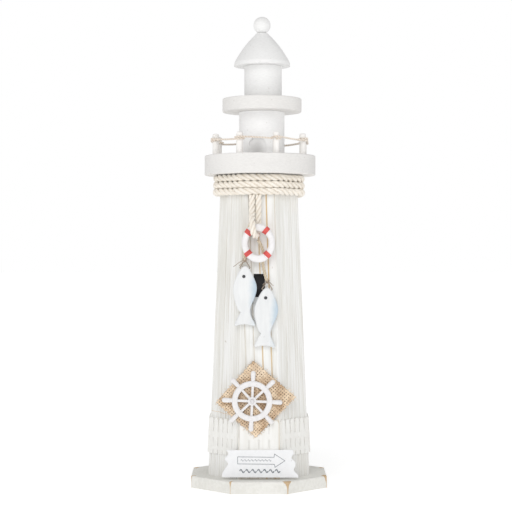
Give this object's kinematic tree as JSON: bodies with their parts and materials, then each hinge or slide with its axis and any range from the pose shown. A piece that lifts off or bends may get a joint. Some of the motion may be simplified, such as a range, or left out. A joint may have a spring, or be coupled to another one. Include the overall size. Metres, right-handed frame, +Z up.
{
  "type": "wooden lighthouse souvenir",
  "caption": "Free-standing whitewashed wooden lighthouse with rope collar, gallery railing, life ring, hanging fish, turning ship's wheel, picket fence and sign board.",
  "frame": {"origin": "middle of the base board's underside", "axes": "+Z up the tower to the ball, -Y out of the front with the window and sign, +X to the viewer's right"},
  "size_m": [0.1028, 0.1028, 0.36],
  "materials": {
    "whitewashed_wood": "thin white wash over combed softwood",
    "fence_white": "white wash on thin board",
    "white_paint": "matt white paint on turned wood",
    "bare_wood": "bare softwood",
    "screw_steel": "zinc plated",
    "pin_white": "white paint",
    "black_paint": "matt black paint",
    "sign_white": "smooth white paint, grey printed outline",
    "burlap": "coarse woven jute",
    "wheel_white": "satin white paint",
    "rope": "bleached three-strand cotton rope",
    "twine": "jute twine",
    "ring_white": "satin white paint",
    "band_red": "red paint",
    "fish_paint": "white with a pale blue back",
    "bead_black": "gloss black",
    "cord": "twisted jute cord",
    "thread": "brown thread"
  },
  "bodies": {
    "tower": {"base_plate": "white_paint", "base_screws": "screw_steel", "bottom_block": "whitewashed_wood", "top_block": "whitewashed_wood", "window_pane": "black_paint", "stave_1": "whitewashed_wood", "stave_2": "whitewashed_wood", "stave_3": "whitewashed_wood", "stave_4": "whitewashed_wood", "stave_5": "whitewashed_wood", "stave_6": "whitewashed_wood", "stave_7": "whitewashed_wood", "stave_8": "whitewashed_wood", "fence_1": "fence_white", "fence_2": "fence_white", "fence_3": "fence_white", "fence_4": "fence_white", "fence_5": "fence_white", "fence_6": "fence_white", "fence_7": "fence_white", "fence_8": "fence_white", "sign_board": "sign_white", "burlap_patch": "burlap", "wheel_pin": "pin_white", "collar_rope": "rope", "ring_rope": "rope", "gallery_deck": "white_paint", "post_1": "white_paint", "post_2": "white_paint", "post_3": "white_paint", "post_4": "white_paint", "post_5": "white_paint", "post_6": "white_paint", "post_7": "white_paint", "post_8": "white_paint", "rail_twine": "twine", "lower_lantern": "white_paint", "upper_deck": "white_paint", "upper_lantern": "white_paint", "roof": "white_paint", "finial": "white_paint", "centre_dowel": "bare_wood", "ball_pin": "bare_wood"},
    "wheel": {"ship_wheel": "wheel_white"},
    "ring": {"life_ring": "ring_white", "ring_bands": "band_red"},
    "left_cord": {"fish_cord_left": "cord", "fish_tie_left": "thread"},
    "left_fish": {"fish_left": "fish_paint", "fish_eye_left": "bead_black"},
    "right_cord": {"fish_cord_right": "cord", "fish_tie_right": "thread"},
    "right_fish": {"fish_right": "fish_paint", "fish_eye_right": "bead_black"}
  },
  "joints": [
    {"name": "wheel_spin", "type": "hinge", "parent": "tower", "child": "wheel", "pos_m": [-0.0051, -0.03903, 0.06732], "axis": [0, -0.9991, 0.0415], "continuous": true},
    {"name": "ring_swing", "type": "hinge", "parent": "tower", "child": "ring", "pos_m": [-0.00257, -0.039, 0.1904], "axis": [0, -1, 0], "range_deg": [-12, 12]},
    {"name": "left_cord_swing", "type": "hinge", "parent": "tower", "child": "left_cord", "pos_m": [-0.0054, -0.033, 0.2024], "axis": [0, -0.9991, 0.0415], "range_deg": [-14, 0]},
    {"name": "left_fish_lift", "type": "hinge", "parent": "left_cord", "child": "left_fish", "pos_m": [-0.0105, -0.03484, 0.16562], "axis": [-1, 0, 0], "range_deg": [0, 50]},
    {"name": "right_cord_swing", "type": "hinge", "parent": "tower", "child": "right_cord", "pos_m": [-0.0006, -0.0344, 0.1873], "axis": [0, -0.9991, 0.0415], "range_deg": [0, 16]},
    {"name": "right_fish_lift", "type": "hinge", "parent": "right_cord", "child": "right_fish", "pos_m": [0.006, -0.03551, 0.14962], "axis": [-0.9991, 0.0017, 0.0418], "range_deg": [0, 50]}
  ]
}
